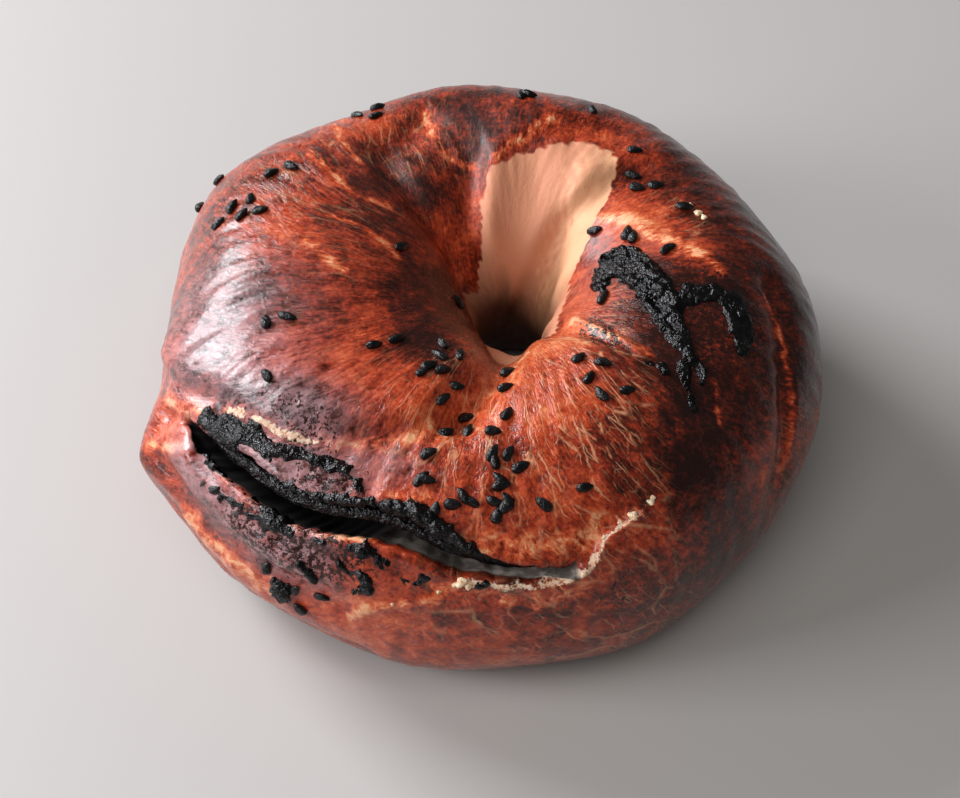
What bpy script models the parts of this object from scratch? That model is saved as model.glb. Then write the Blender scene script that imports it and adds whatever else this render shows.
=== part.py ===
"""Acma: a soft ring bread, rolled round black olive paste, twisted, joined into a ring and strewn with nigella seeds.

The dough is a tube bent into a ring. A point on it is given by its ring angle, anticlockwise from +X seen from
above, and its roll angle round the tube: 0 on the outer side, 90 on top, 180 in the hole and 270 underneath.
Lengths are in mm and angles in degrees here, and the meshes are made in metres.
"""

import math
import random

import bmesh
import bpy
import numpy as np
from mathutils import Matrix, Vector

MM = 0.001
DEG = math.pi / 180

# Ring, at equal steps of the ring angle from +X.
OUTER_RADIUS = (55.5, 53.4, 54.5, 56.0, 54.5, 57.5, 53.5, 58.0, 57.0, 56.0, 56.0, 55.0)
HOLE_RADIUS = (5.5, 6.5, 7.5, 8.0, 7.0, 6.0, 5.5, 6.0, 7.0, 8.0, 7.0, 5.5)
HEIGHT = (44.0, 43.0, 42.0, 42.0, 43.0, 45.0, 46.0, 46.0, 45.0, 45.0, 45.0, 44.0)
HOLE_CENTRE = (4.3, 3.5)
ROUNDNESS = 2.2
WIDEST_AT = 0.46
SAG = 1.2
BASE_ROUNDING = 3.0
ROLL_RADIUS = 22.0
MID_RADIUS = 30.0
RELIEF_FROM = (2.0, 9.0)

# Mesh of the dough.
COLUMNS = 84
ROWS = 27

# The split that tore open in the oven: its line, half its gap, its depth and where its floor lies across the gap,
# each against the ring angle.
SPLIT_LINE = (
    (200, 32), (214, 35), (223, 39), (235, 38), (241, 40.5), (249, 44.5), (256, 43), (264, 36), (274, 30.5),
    (282, 28), (300, 30),
)
SPLIT_HALF_GAP = ((208, 0.5), (221, 2.4), (250, 2.5), (263, 2.2), (273, 1.3), (285, 0.6))
SPLIT_DEPTH = ((206, 0.0), (222, 10.0), (240, 14.0), (262, 13.0), (276, 5.5), (286, 0.0))
SPLIT_FLOOR = ((206, -1.2), (240, -1.0), (256, 0.6), (286, 0.4))
SPLIT_BAND = 5.0
SPLIT_SHUT = (-1.0, -0.66, -0.34, 0.0, 0.34, 0.66, 1.0)
SPLIT_SIDE = (0.0, -1.0, -0.86, 0.0, 0.86, 1.0, 0.0)
SPLIT_FALL = (0.0, 0.0, 0.45, 1.0, 0.45, 0.0, 0.0)

# Folds of the twist, as (ring angle, roll angle) along each. A lap stands up on its left, seen along the path.
LAPS = (
    # path, step, reach on either side
    (((192, 24), (202, 39), (210, 52), (229, 64), (246, 80), (258, 92)), 1.6, 6.0),
    (((98, 108), (106, 125), (120, 146), (134, 164)), 2.6, 7.0),
    (((86, 174), (71, 157), (54, 121), (48, 96), (44, 84)), 1.5, 6.0),
    (((64, 78), (72, 83), (84, 98), (95, 108)), -0.9, 5.0),
)
CREASES = (
    # path, depth, half width
    (((110, 79), (129, 91), (134, 103), (138, 138), (142, 160)), 1.8, 3.0),
    (((258, 92), (264, 108), (266, 125), (266, 150)), 4.0, 3.2),
    (((300, 140), (312, 110), (316, 92), (320, 75), (322, 60)), 1.2, 2.8),
    (((358, 58), (353, 56), (343, 46), (336, 34), (327, 12)), 1.3, 2.2),
    (((204, 22), (214, 8), (230, 2), (246, 6)), 1.0, 2.4),
    (((204, 16), (214, -8), (230, -20), (248, -24)), 0.9, 2.4),
)
LAP_SOFTNESS = 1.6
TIP_PLACE = (204.0, 6.0)
TIP_HEIGHT = 4.1
TIP_WIDTH = 6.0

# Olive paste: a sheet on edge that turns once inside the roll, how deep its upper edge lies, and the places where
# it has burst through the crust.
PASTE_PATH = (
    (204, 33), (214, 37), (223, 41), (235, 41), (241, 43), (249, 47), (256, 45.5), (264, 38.5), (274, 32), (282, 29),
    (292, 38), (305, 56), (320, 79), (332, 95), (344, 104), (364, 121), (400, 165), (470, 250), (540, 345),
    (564, 396),
)
PASTE_COVER = ((204, 5.0), (214, 2.0), (222, 0.6), (262, 0.6), (272, 2.0), (284, 5.0), (564, 5.0))
PASTE_LOOPS = 54
PASTE_HALF = 0.95
PASTE_REACH = 13.0
BURSTS = (
    # (ring angle, roll angle, stand above the crust) along the patch, half its width
    (((327, 95, 0.3), (335, 98, 0.7), (344, 105, 0.8), (354, 113, 0.7), (365, 121, 0.3)), 4.4),
    (((331, 64, 0.3), (339, 68, 0.6), (345, 77, 0.6), (347, 87, 0.2), (346, 98, -2.5), (344, 105, -3.5)), 2.3),
)
BURST_LOOPS = 11
BURST_DEPTH = 7.0
BURST_CROWN = 0.5
FIT = 0.3

# Nigella seeds: length, width, thickness; then ring angle, roll angle, spread of each, number.
SEED_SIZE = (3.0, 1.75, 1.35)
SEED_SIDES = 5
SEED_RINGS = 4
SEED_LIFT = 0.05
SEED_APART = 3.0
SEED_DRAW = 7
SEED_TRIES = 40
SEEDS = (
    (118, 60, 5, 6, 3), (150, 72, 3, 3, 2), (165, 62, 4, 12, 5), (174, 119, 0, 0, 1), (204, 79, 2, 4, 2),
    (216, 68, 0, 0, 1), (227, 100, 2, 5, 2), (201, 149, 0, 0, 1), (246, 105, 5, 8, 6), (255, 95, 5, 4, 3),
    (270, 114, 0, 0, 1), (269, 91, 3, 9, 3), (259, 82, 3, 3, 2), (256, 68, 2, 5, 3), (271, 70, 4, 6, 5),
    (268, 59, 5, 4, 6), (279, 55, 0, 0, 1), (287, 58, 0, 0, 1), (264, 54, 8, 2, 4), (299, 95, 6, 11, 5),
    (31, 123, 0, 0, 1), (16, 112, 3, 4, 2), (3, 98, 0, 0, 1), (334, 121, 0, 0, 1), (38, 92, 5, 5, 3),
    (21, 86, 0, 0, 1), (48, 83, 0, 0, 1), (66, 68, 0, 0, 1), (83, 68, 3, 4, 3), (236, 6, 10, 12, 5),
    (60, 25, 10, 14, 2), (105, 20, 12, 12, 2), (150, 22, 10, 12, 2),
)


def make_material(name, colour, roughness):
    """A Principled material of one colour."""
    material = bpy.data.materials.new(name)
    material.use_nodes = True
    shader = material.node_tree.nodes["Principled BSDF"]
    shader.inputs["Base Color"].default_value = (*colour, 1.0)
    shader.inputs["Roughness"].default_value = roughness
    shader.inputs["Metallic"].default_value = 0.0
    return material


def around(values, ring):
    """A smooth closed curve through equally spaced values, read at ring angles in radians."""
    values = np.array(values)
    place = ring / (2 * math.pi) % 1 * len(values)
    index = np.floor(place).astype(int)
    f = place - index
    before, here, after, beyond = (values[(index + k) % len(values)] for k in (-1, 0, 1, 2))
    slope = after - before
    bend = 2 * before - 5 * here + 4 * after - beyond
    return here + f / 2 * (slope + f * (bend + f * (3 * (here - after) + beyond - before)))


def read(curve, ring, period=None):
    """A curve of (ring angle, value) pairs in degrees, read at ring angles in radians."""
    angles, values = np.array(curve, float).T
    return np.interp(ring / DEG, angles, values, period=period)


def smooth_step(start, end, value):
    """0 up to start, 1 from end on, and a smooth rise between."""
    t = np.clip((value - start) / (end - start), 0, 1)
    return t * t * (3 - 2 * t)


def across_tube(ring, outward, z):
    """Points at heights z, a share outward of the way from the hole's outline to the outer one."""
    inner, outer = around(HOLE_RADIUS, ring), around(OUTER_RADIUS, ring)
    x_in, y_in = HOLE_CENTRE[0] + inner * np.cos(ring), HOLE_CENTRE[1] + inner * np.sin(ring)
    x = x_in + (outer * np.cos(ring) - x_in) * outward
    y = y_in + (outer * np.sin(ring) - y_in) * outward
    return np.stack([x, y, z], -1)


def plain_ring(ring, roll):
    """The ring without folds: a squashed tube between the outer outline and the hole's, with a flat base."""
    c, s = np.cos(roll), np.sin(roll)
    power = 2 / ROUNDNESS
    outward = (1 + np.sign(c) * np.abs(c) ** power) / 2
    up = np.sign(s) * np.abs(s) ** power
    height = around(HEIGHT, ring)
    middle = WIDEST_AT * height
    z = middle + np.where(up > 0, height - middle, SAG * middle) * up
    r = BASE_ROUNDING
    z = np.where(z > r, z, np.where(z < -r, 0, (z + r) ** 2 / (4 * r)))
    return across_tube(ring, outward, z)


def outward_from(ring, roll, step=0.01):
    """The direction out of the plain ring, square to its slopes along and over the tube."""
    along = plain_ring(ring + step, roll) - plain_ring(ring - step, roll)
    over = plain_ring(ring, roll + step) - plain_ring(ring, roll - step)
    out = np.cross(along, over)
    return out / np.linalg.norm(out, axis=-1, keepdims=True)


def turned(angle):
    """An angle in radians brought within half a turn of zero."""
    return (angle + math.pi) % (2 * math.pi) - math.pi


def beside(path, ring, roll):
    """Distance from a path on the dough, positive on its left, and round its ends."""
    nearest = np.full(np.broadcast(ring, roll).shape, np.inf)
    side = np.ones_like(nearest)
    across = MID_RADIUS + ROLL_RADIUS * np.cos(roll)
    points = np.array(path, float) * DEG
    for start, end in zip(points[:-1], points[1:]):
        u, v = turned(ring - start[0]) * across, turned(roll - start[1]) * ROLL_RADIUS
        du, dv = (end[0] - start[0]) * across, (end[1] - start[1]) * ROLL_RADIUS
        t = np.clip((u * du + v * dv) / (du * du + dv * dv), 0, 1)
        away = np.hypot(u - t * du, v - t * dv)
        side = np.where(away < nearest, np.sign(du * v - dv * u), side)
        nearest = np.minimum(nearest, away)
    return nearest * side


def relief(ring, roll):
    """Height of the folds over the plain ring: laps, creases and the pinched tip."""
    height = np.zeros(np.broadcast(ring, roll).shape)
    for path, step, reach in LAPS:
        s = beside(path, ring, roll)
        height = height + step * np.tanh(s / LAP_SOFTNESS) * np.exp(-np.abs(s) / reach)
    for path, depth, width in CREASES:
        s = beside(path, ring, roll)
        height = height - depth * np.exp(-((s / width) ** 2))
    tip_ring, tip_roll = (angle * DEG for angle in TIP_PLACE)
    u = turned(ring - tip_ring) * (MID_RADIUS + ROLL_RADIUS * np.cos(roll))
    away = np.hypot(u, turned(roll - tip_roll) * ROLL_RADIUS)
    return height + TIP_HEIGHT * np.exp(-((away / TIP_WIDTH) ** 1.5))


def skin(ring, roll):
    """Points of the crust, folds and all, as if the split were shut. The base stays flat."""
    place = plain_ring(ring, roll)
    rise = relief(ring, roll) * smooth_step(*RELIEF_FROM, place[..., 2])
    return place + outward_from(ring, roll) * rise[..., None]


def dough_loops():
    """Loops round the roll, one for each column. Seven points of each run down into the split and up again."""
    ring = np.linspace(0, 2 * math.pi, COLUMNS, endpoint=False)[:, None]
    line = read(SPLIT_LINE, ring, 360) * DEG
    shut, side, fall = np.array(SPLIT_SHUT), np.array(SPLIT_SIDE), np.array(SPLIT_FALL)
    depth = read(SPLIT_DEPTH, ring)
    opened = smooth_step(0, 2, depth)
    walls = side * read(SPLIT_HALF_GAP, ring) + read(SPLIT_FLOOR, ring) * (fall == 1)
    walls = np.where(np.abs(shut) == 1, shut * SPLIT_BAND, walls)
    offset = shut * SPLIT_BAND * (1 - opened) + walls * opened
    band = skin(ring, line + offset / ROLL_RADIUS)
    band = band - outward_from(ring, line) * (fall * depth * opened)[..., None]
    half_band = SPLIT_BAND / ROLL_RADIUS
    share = np.linspace(0, 1, ROWS + 2)[1:-1]
    rest = skin(ring, line + half_band + (2 * math.pi - 2 * half_band) * share)
    return np.concatenate([rest, band], axis=1)


def loft(name, loops, material, collection, ring_shaped):
    """An object from loops of points, each joined to the next. A ring joins its last loop to its first, and
    anything else gets flat ends."""
    count, sides = loops.shape[:2]
    spans = count if ring_shaped else count - 1
    i, j = (grid.ravel() for grid in np.meshgrid(np.arange(spans), np.arange(sides), indexing="ij"))
    i_next, j_next = (i + 1) % count, (j + 1) % sides
    a, b, c, d = i * sides + j, i_next * sides + j, i_next * sides + j_next, i * sides + j_next
    faces = np.stack([a, b, c, a, c, d], -1).reshape(-1, 3).tolist()
    if not ring_shaped:
        first = list(range(sides))
        faces += [first, [(count - 1) * sides + k for k in reversed(first)]]
    mesh = bpy.data.meshes.new(name)
    mesh.from_pydata((loops.reshape(-1, 3) * MM).tolist(), [], faces)
    mesh.materials.append(material)
    piece = bpy.data.objects.new(name, mesh)
    collection.objects.link(piece)
    return piece


def slab_loops(ring, roll, top, crown, half, foot, half_foot):
    """Loops of six points across a path on the dough: a slab on edge, from top to foot, that points at the core."""
    spine = skin(ring, roll)
    out = spine - across_tube(ring, 0.5, WIDEST_AT * around(HEIGHT, ring))
    out = out / np.linalg.norm(out, axis=-1, keepdims=True)
    along = np.gradient(spine, axis=0)
    along = along - out * (along * out).sum(-1, keepdims=True)
    along = along / np.linalg.norm(along, axis=-1, keepdims=True)
    aside = np.cross(out, along)
    middle = np.zeros_like(ring)
    across = np.stack([-half, middle, half, half_foot, middle, -half_foot], -1)
    above = np.stack([top, top + crown, top, foot, foot - half_foot, foot], -1)
    return spine[:, None] + aside[:, None] * across[..., None] + out[:, None] * above[..., None]


def make_sheet(name, grown, material, collection):
    """The sheet of paste inside the roll, grown on every side."""
    start, end = PASTE_PATH[0][0] * DEG, PASTE_PATH[-1][0] * DEG
    ring = np.linspace(start, end, PASTE_LOOPS, endpoint=False)
    level = np.ones_like(ring)
    top = grown - read(PASTE_COVER, ring)
    half = (PASTE_HALF + grown) * level
    loops = slab_loops(ring, read(PASTE_PATH, ring) * DEG, top, 0 * level, half, -(PASTE_REACH + grown) * level, half)
    return loft(name, loops, material, collection, True)


def make_burst(name, burst, grown, material, collection):
    """One patch of paste on the crust with its root down to the sheet, grown on every side."""
    path, half_width = burst
    ring_stop, roll_stop, proud = np.array(path, float).T
    stops = np.linspace(-1, 1, len(path))
    share = np.linspace(-1, 1, BURST_LOOPS)
    ring, roll = (np.interp(share, stops, angle) * DEG for angle in (ring_stop, roll_stop))
    top = np.interp(share, stops, proud)
    half = half_width * np.sqrt(1 - 0.9 * share**2) + grown
    loops = slab_loops(
        ring, roll, top - BURST_CROWN + grown, BURST_CROWN, half, top - BURST_DEPTH - grown, 0.35 * half
    )
    ends = loops[[0, -1]] - loops[[1, -2]]
    ends = ends.mean(axis=1, keepdims=True)
    loops[[0, -1]] += grown * ends / np.linalg.norm(ends, axis=-1, keepdims=True)
    return loft(name, loops, material, collection, False)


def seed_places():
    """Ring and roll angles for every seed, drawn round each group's middle and kept apart."""
    draw = random.Random(SEED_DRAW)
    places = []
    spots = np.empty((0, 3))
    for ring, roll, ring_spread, roll_spread, count in SEEDS:
        for _ in range(count):
            for _ in range(SEED_TRIES):
                place = (ring + draw.uniform(-1, 1) * ring_spread, roll + draw.uniform(-1, 1) * roll_spread)
                spot = skin(np.array([place[0] * DEG]), np.array([place[1] * DEG]))
                if len(spots) == 0 or np.linalg.norm(spots - spot, axis=1).min() > SEED_APART:
                    break
            spots = np.concatenate([spots, spot])
            places.append((*place, draw.uniform(0, math.pi)))
    return places


def make_seed(name, place, material, collection):
    """One seed, pointed at both ends, lying flat and part sunk in the crust."""
    ring, roll = np.array([place[0] * DEG]), np.array([place[1] * DEG])
    out = Vector(outward_from(ring, roll)[0])
    long_axis = (Matrix.Rotation(place[2], 3, out) @ out.orthogonal()).normalized()
    wide_axis = out.cross(long_axis)
    length, width, thickness = (size * MM for size in SEED_SIZE)
    axes = Matrix((wide_axis * width, out * thickness, long_axis * length)).transposed().to_4x4()
    middle = Vector(skin(ring, roll)[0]) * MM + out * (SEED_LIFT * thickness)
    mesh = bmesh.new()
    bmesh.ops.create_uvsphere(
        mesh, u_segments=SEED_SIDES, v_segments=SEED_RINGS, radius=0.5, matrix=Matrix.Translation(middle) @ axes
    )
    bmesh.ops.recalc_face_normals(mesh, faces=mesh.faces)
    data = bpy.data.meshes.new(name)
    mesh.to_mesh(data)
    mesh.free()
    data.materials.append(material)
    collection.objects.link(bpy.data.objects.new(name, data))


def combine(piece, operation, others):
    """Joins a collection of pieces to this one, or cuts them out of it."""
    boolean = piece.modifiers.new(operation.lower(), "BOOLEAN")
    boolean.operation = operation
    boolean.operand_type = "COLLECTION"
    boolean.collection = others
    boolean.solver = "MANIFOLD"


def apply_modifiers(piece):
    """Replaces the mesh with the one that the modifiers give."""
    bpy.context.view_layer.update()
    shaped = piece.evaluated_get(bpy.context.evaluated_depsgraph_get())
    piece.data = bpy.data.meshes.new_from_object(shaped)
    piece.modifiers.clear()


def new_collection(name, hidden=False):
    """A collection in the scene. What is hidden is a tool that cuts or joins."""
    collection = bpy.data.collections.new(name)
    bpy.context.scene.collection.children.link(collection)
    collection.hide_render = hidden
    return collection


def empty_out(collection):
    """Removes a collection's objects once they have been joined to their piece."""
    for piece in list(collection.objects):
        bpy.data.objects.remove(piece)
    bpy.data.collections.remove(collection)


def main():
    for piece in list(bpy.data.objects):
        bpy.data.objects.remove(piece)
    acma, cutters = new_collection("acma"), new_collection("cutters", True)
    bursts, seeds = new_collection("bursts", True), new_collection("seeds", True)

    crust = make_material("crust", (0.30, 0.075, 0.025), 0.35)
    olive = make_material("olive_paste", (0.012, 0.011, 0.012), 0.4)
    nigella = make_material("nigella", (0.015, 0.014, 0.016), 0.45)

    paste = make_sheet("olive_paste", 0.0, olive, acma)
    for number, burst in enumerate(BURSTS):
        make_burst(f"burst_{number}", burst, 0.0, olive, bursts)
    combine(paste, "UNION", bursts)
    apply_modifiers(paste)
    empty_out(bursts)

    dough = loft("dough_ring", dough_loops(), crust, acma, True)
    make_sheet("sheet_slot", FIT, crust, cutters)
    for number, burst in enumerate(BURSTS):
        make_burst(f"burst_slot_{number}", burst, FIT, crust, cutters)
    for cutter in cutters.objects:
        cutter.hide_render = True
        cutter.display_type = "WIRE"
    for number, place in enumerate(seed_places()):
        make_seed(f"seed_{number}", place, nigella, seeds)
    combine(dough, "UNION", seeds)
    combine(dough, "DIFFERENCE", cutters)
    apply_modifiers(dough)
    empty_out(seeds)

    for piece in acma.objects:
        piece.data.shade_smooth()
        piece.data.set_sharp_from_angle(angle=40 * DEG)


main()
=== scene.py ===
"""Acma: a soft ring bread, rolled round olive paste, twisted, strewn with nigella and baked until it split.

The dough is a tube bent into a ring. A place on it is its ring angle, anticlockwise from +X seen from above, and
its roll angle round the tube: 0 outside, 90 on top, 180 in the hole, 270 underneath. Shapes are worked out in mm
and degrees, and turned into metres where a mesh is made.
"""

import math
import random

import bmesh
import bpy
import numpy as np
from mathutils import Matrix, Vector


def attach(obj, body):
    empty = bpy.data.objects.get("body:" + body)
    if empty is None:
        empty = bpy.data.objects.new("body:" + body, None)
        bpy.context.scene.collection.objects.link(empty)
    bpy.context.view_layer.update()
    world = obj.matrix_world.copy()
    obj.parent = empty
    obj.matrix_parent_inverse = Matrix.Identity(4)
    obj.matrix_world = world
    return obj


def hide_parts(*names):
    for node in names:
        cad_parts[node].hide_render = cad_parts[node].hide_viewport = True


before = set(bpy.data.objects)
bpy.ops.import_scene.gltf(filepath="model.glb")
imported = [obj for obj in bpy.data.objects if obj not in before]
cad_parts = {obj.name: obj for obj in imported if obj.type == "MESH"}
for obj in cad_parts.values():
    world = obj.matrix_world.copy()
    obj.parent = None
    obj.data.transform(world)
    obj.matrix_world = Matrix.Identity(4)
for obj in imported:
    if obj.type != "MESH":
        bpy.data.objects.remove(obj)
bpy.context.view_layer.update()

MM = 0.001
DEG = math.pi / 180


# ---------------------------------------------------------------------------------------------------------------
# The dough ring. A rope of enriched dough was rolled up round olive paste, twisted, joined into a ring, brushed
# with egg and baked. Its twist shows as laps, folds and pulled strands, and one side tore open along the roll.

OUTER_RADIUS = (55.5, 53.4, 54.5, 56.0, 54.5, 57.5, 53.5, 58.0, 57.0, 56.0, 56.0, 55.0)
HOLE_RADIUS = (5.5, 6.5, 7.5, 8.0, 7.0, 6.0, 5.5, 6.0, 7.0, 8.0, 7.0, 5.5)
HEIGHT = (44.0, 43.0, 42.0, 42.0, 43.0, 45.0, 46.0, 46.0, 45.0, 45.0, 45.0, 44.0)
HOLE_CENTRE = (4.3, 3.5)
ROUNDNESS = 2.2
WIDEST_AT = 0.46
SAG = 1.2
BASE_ROUNDING = 3.0
ROLL_RADIUS = 22.0
MID_RADIUS = 30.0
RELIEF_FROM = (2.0, 9.0)

SPLIT_LINE = (
    (200, 32), (214, 35), (223, 39), (235, 38), (241, 40.5), (249, 44.5), (256, 43), (264, 36), (274, 30.5),
    (282, 28), (300, 30),
)
SPLIT_HALF_GAP = ((208, 0.5), (221, 2.4), (250, 2.5), (263, 2.2), (273, 1.3), (285, 0.6))
SPLIT_DEPTH = ((206, 0.0), (222, 10.0), (240, 14.0), (262, 13.0), (276, 5.5), (286, 0.0))
SPLIT_FLOOR = ((206, -1.2), (240, -1.0), (256, 0.6), (286, 0.4))
SPLIT_BAND = 5.0
SPLIT_LIP = 0.5
LEAST_HALF_GAP = 0.25
LIP_RAGGED = 0.10
LIP_RISE = 0.55
LIP_MIDDLE = 0.9
LIP_WIDTH = 1.3

LAPS = (
    # path of (ring angle, roll angle), step up on its left, reach on either side
    (((192, 24), (202, 39), (210, 52), (229, 64), (246, 80), (258, 92)), 1.6, 6.0),
    (((98, 108), (106, 125), (120, 146), (134, 164)), 2.6, 7.0),
    (((86, 174), (71, 157), (54, 121), (48, 96), (44, 84)), 1.5, 6.0),
    (((64, 78), (72, 83), (84, 98), (95, 108)), -0.9, 5.0),
)
CREASES = (
    # path, depth, half width
    (((110, 79), (129, 91), (134, 103), (138, 138), (142, 160)), 1.8, 3.0),
    (((258, 92), (264, 108), (266, 125), (266, 150)), 4.0, 3.2),
    (((300, 140), (312, 110), (316, 92), (320, 75), (322, 60)), 1.2, 2.8),
    (((358, 58), (353, 56), (343, 46), (336, 34), (327, 12)), 1.3, 2.2),
    (((204, 22), (214, 8), (230, 2), (246, 6)), 1.0, 2.4),
    (((204, 16), (214, -8), (230, -20), (248, -24)), 0.9, 2.4),
)
LAP_SOFTNESS = 1.6
TIP_PLACE = (204.0, 6.0)
TIP_HEIGHT = 3.7
TIP_WIDTH = 6.0

FOLDS = (
    # path, height or, below zero, depth, half width
    (((206, 18), (213, 27), (219, 23), (230, 20), (240, 19)), 0.75, 1.7),
    (((207, 11), (214, 13), (224, 12), (234, 10), (244, 12)), -0.60, 0.9),
    (((208, 6), (216, 2), (226, 0), (236, 1)), 0.60, 1.6),
    (((207, 22), (213, 33), (217, 30), (222, 29)), -0.45, 0.9),
    (((200, 30), (206, 38), (211, 44)), 0.60, 1.4),
    (((202, 22), (207, 30), (212, 36)), -0.70, 1.0),
    (((213, 46), (220, 52), (227, 55), (234, 59), (240, 60)), -0.55, 0.8),
    (((215, 51), (221, 56), (227, 59), (232, 62), (238, 67)), 0.45, 1.5),
    (((283, 33), (287, 42), (293, 47)), -0.50, 1.3),
    (((313, 132), (314, 119), (315, 105), (317, 94)), 0.55, 1.0),
    (((40, 125), (28, 110), (12, 101), (4, 90), (355, 81), (347, 72)), 0.40, 2.0),
    (((142, 75), (151, 90), (154, 98), (156, 108)), 0.25, 1.0),
    (((354, 60), (345, 45), (338, 30), (330, 14)), 0.35, 0.9),
    (((248, 3), (253, 11), (258, 16), (263, 20)), 0.35, 0.8),
    (((120, 82), (126, 98), (131, 118), (136, 138)), 0.30, 1.2),
    (((128, 60), (134, 78), (138, 92)), 0.25, 1.2),
    (((52, 160), (58, 130), (62, 108), (66, 92)), -0.55, 1.8),
    (((238, 71), (250, 82), (258, 90)), -0.35, 1.4),
)
RIM = ((282, 26), (286, 29.5), (288, 35), (289.5, 39), (293, 41.5), (296, 43.5), (299, 44))
RIM_STEP = -0.75
RIM_REACH = 2.6
RIM_SOFTNESS = 0.35
RIM_BEAD = 0.5
LUMP_HEIGHT = 0.26
STRAND_HEIGHT = 0.06
SHRUNK = 0.25

COLUMNS = 540
CLOSE_COLUMNS = 0.52
CLOSE_FROM_TO = (196, 322)
SEAM = 66.0
BAND_CRUST_ROWS = 10
BAND_WALL_ROWS = 30
BEYOND_BAND = 9.0
ROUND_ROWS = (
    # from and to, as shares of the way round the roll from one edge of the split's band to the other, and rows
    (0.0, 0.42, 76), (0.42, 0.86, 34), (0.86, 1.0, 25),
)


def around(values, ring):
    """Cubic through equally spaced values that closes on itself, read at ring angles in radians."""
    values = np.array(values)
    place = ring / (2 * math.pi) % 1 * len(values)
    index = np.floor(place).astype(int)
    f = place - index
    before, here, after, beyond = (values[(index + k) % len(values)] for k in (-1, 0, 1, 2))
    slope = after - before
    bend = 2 * before - 5 * here + 4 * after - beyond
    return here + f / 2 * (slope + f * (bend + f * (3 * (here - after) + beyond - before)))


def read(curve, ring):
    """Straight lines through (ring angle, value) pairs in degrees, read at ring angles in radians."""
    angles, values = np.array(curve, float).T
    return np.interp(ring / DEG % 360, angles, values, period=360)


def smooth_step(start, end, value):
    """0 up to start, 1 from end on, and 3t^2 - 2t^3 between."""
    t = np.clip((value - start) / (end - start), 0, 1)
    return t * t * (3 - 2 * t)


def across_tube(ring, outward, z):
    """Points at heights z: the hole's outline plus outward times the way to the outer outline."""
    inner, outer = around(HOLE_RADIUS, ring), around(OUTER_RADIUS, ring)
    x_in, y_in = HOLE_CENTRE[0] + inner * np.cos(ring), HOLE_CENTRE[1] + inner * np.sin(ring)
    x = x_in + (outer * np.cos(ring) - x_in) * outward
    y = y_in + (outer * np.sin(ring) - y_in) * outward
    return np.stack([x, y, z], -1)


def plain_ring(ring, roll):
    """A squashed tube: superellipse of the roll angle, taller above its widest line, cut flat at the base."""
    c, s = np.cos(roll), np.sin(roll)
    power = 2 / ROUNDNESS
    outward = (1 + np.sign(c) * np.abs(c) ** power) / 2
    up = np.sign(s) * np.abs(s) ** power
    height = around(HEIGHT, ring)
    middle = WIDEST_AT * height
    z = middle + np.where(up > 0, height - middle, SAG * middle) * up
    r = BASE_ROUNDING
    z = np.where(z > r, z, np.where(z < -r, 0, (z + r) ** 2 / (4 * r)))
    return across_tube(ring, outward, z)


def outward_from(ring, roll, step=0.01):
    """Unit normal of the plain ring: cross product of its central differences along and over the tube."""
    along = plain_ring(ring + step, roll) - plain_ring(ring - step, roll)
    over = plain_ring(ring, roll + step) - plain_ring(ring, roll - step)
    out = np.cross(along, over)
    return out / np.linalg.norm(out, axis=-1, keepdims=True)


def turned(angle):
    """An angle in radians brought within half a turn of zero."""
    return (angle + math.pi) % (2 * math.pi) - math.pi


def beside(path, ring, roll, widths=0.0):
    """Distance in mm from a path on the unrolled dough less its half width there, and its side of the path.

    The side is 1 on the left and -1 on the right, and goes smoothly through 0 round the ends.
    """
    nearest = np.full(np.broadcast(ring, roll).shape, np.inf)
    side = np.zeros_like(nearest)
    across = MID_RADIUS + ROLL_RADIUS * np.cos(roll)
    points = np.array(path, float) * DEG
    widths = np.broadcast_to(widths, len(points))
    for start, end, wide, next_wide in zip(points[:-1], points[1:], widths[:-1], widths[1:]):
        u, v = turned(ring - start[0]) * across, turned(roll - start[1]) * ROLL_RADIUS
        du, dv = turned(end[0] - start[0]) * across, (end[1] - start[1]) * ROLL_RADIUS
        t = np.clip((u * du + v * dv) / (du * du + dv * dv), 0, 1)
        off = np.hypot(u - t * du, v - t * dv)
        away = off - wide - t * (next_wide - wide)
        leftward = (du * v - dv * u) / np.hypot(du, dv) / np.maximum(off, 1e-9)
        side = np.where(away < nearest, leftward, side)
        nearest = np.minimum(nearest, away)
    return nearest, side


def bell(path, ring, roll, width):
    """exp(-(distance / width)^2) along a path."""
    return np.exp(-((beside(path, ring, roll)[0] / width) ** 2))


def relief(ring, roll):
    """Main folds over the plain ring: a lap is tanh times a decay, a crease a bell, the tip a pinched bell."""
    height = np.zeros(np.broadcast(ring, roll).shape)
    for path, step, reach in LAPS:
        away, side = beside(path, ring, roll)
        height = height + step * side * np.tanh(away / LAP_SOFTNESS) * np.exp(-away / reach)
    for path, depth, width in CREASES:
        height = height - depth * bell(path, ring, roll, width)
    tip_ring, tip_roll = (angle * DEG for angle in TIP_PLACE)
    u = turned(ring - tip_ring) * (MID_RADIUS + ROLL_RADIUS * np.cos(roll))
    away = np.hypot(u, turned(roll - tip_roll) * ROLL_RADIUS)
    return height + TIP_HEIGHT * np.exp(-((away / TIP_WIDTH) ** 1.5))


def ripples(ring, roll, along, over, seed, waves=28):
    """Random heights of spread 1: sine waves that close both ways round, of along and over waves in a turn."""
    draw = np.random.default_rng(seed)
    total = np.zeros(np.broadcast(ring, roll).shape)
    for _ in range(waves):
        m = draw.integers(along[0], along[1] + 1)
        n = draw.integers(over[0], over[1] + 1) * draw.choice((-1, 1))
        total = total + np.sin(m * ring + n * roll + draw.uniform(0, 2 * math.pi))
    return total / math.sqrt(waves / 2)


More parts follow.
